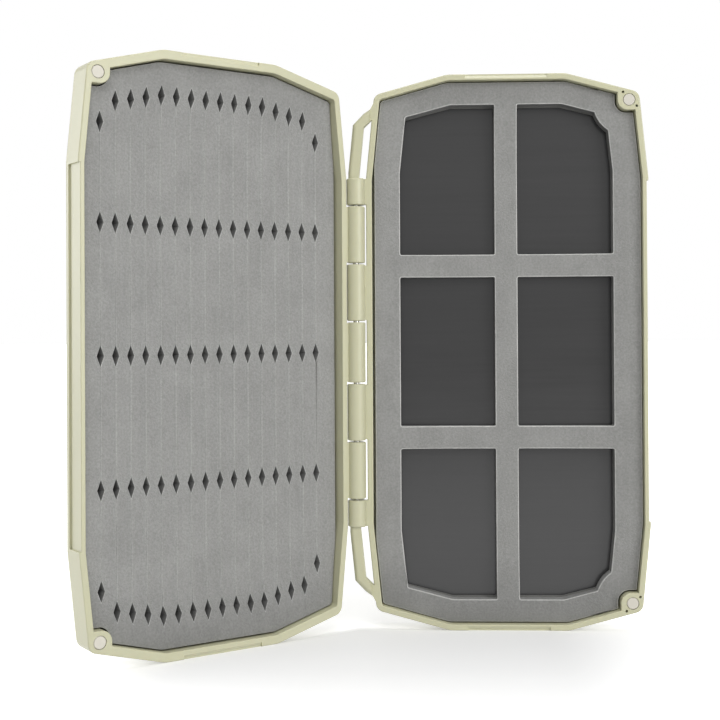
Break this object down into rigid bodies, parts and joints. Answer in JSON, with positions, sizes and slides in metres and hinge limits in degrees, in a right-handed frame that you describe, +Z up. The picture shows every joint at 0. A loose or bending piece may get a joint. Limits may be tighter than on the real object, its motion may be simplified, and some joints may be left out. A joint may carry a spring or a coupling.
{
  "type": "fly box",
  "caption": "Flat moulded fly-fishing box that opens like a book, with a slit foam pad in the lid and a windowed foam frame over a magnetic sheet in the base.",
  "frame": {"origin": "middle of the base half's lower end face, which the box stands on", "axes": "+Z up along the hinge, +X from the hinge towards the base's opening edge, +Y from the mating plane towards the base's back"},
  "size_m": [0.1839, 0.0704, 0.188],
  "materials": {
    "shell_plastic": "satin",
    "lid_foam": "matte",
    "base_foam": "matte",
    "adhesive_tape": "matte",
    "magnetic_sheet": "matte",
    "magnet_plating": "satin",
    "pin_steel": "satin"
  },
  "bodies": {
    "base": {"base_shell": "shell_plastic", "hinge_pin": "pin_steel", "window_foam_frame": "base_foam", "window_foam_tape": "adhesive_tape", "magnet_sheet": "magnetic_sheet", "magnet_sheet_tape": "adhesive_tape", "base_magnet_upper": "magnet_plating", "base_magnet_lower": "magnet_plating"},
    "lid": {"lid_shell": "shell_plastic", "slit_foam_pad": "lid_foam", "slit_foam_tape": "adhesive_tape", "lid_magnet_upper": "magnet_plating", "lid_magnet_lower": "magnet_plating"}
  },
  "joints": [
    {"name": "lid_hinge", "type": "hinge", "parent": "base", "child": "lid", "pos_m": [-0.0511, -0.0047, 0.094], "axis": [0, 0, 1], "range_deg": [-36.7, 143.3]}
  ]
}
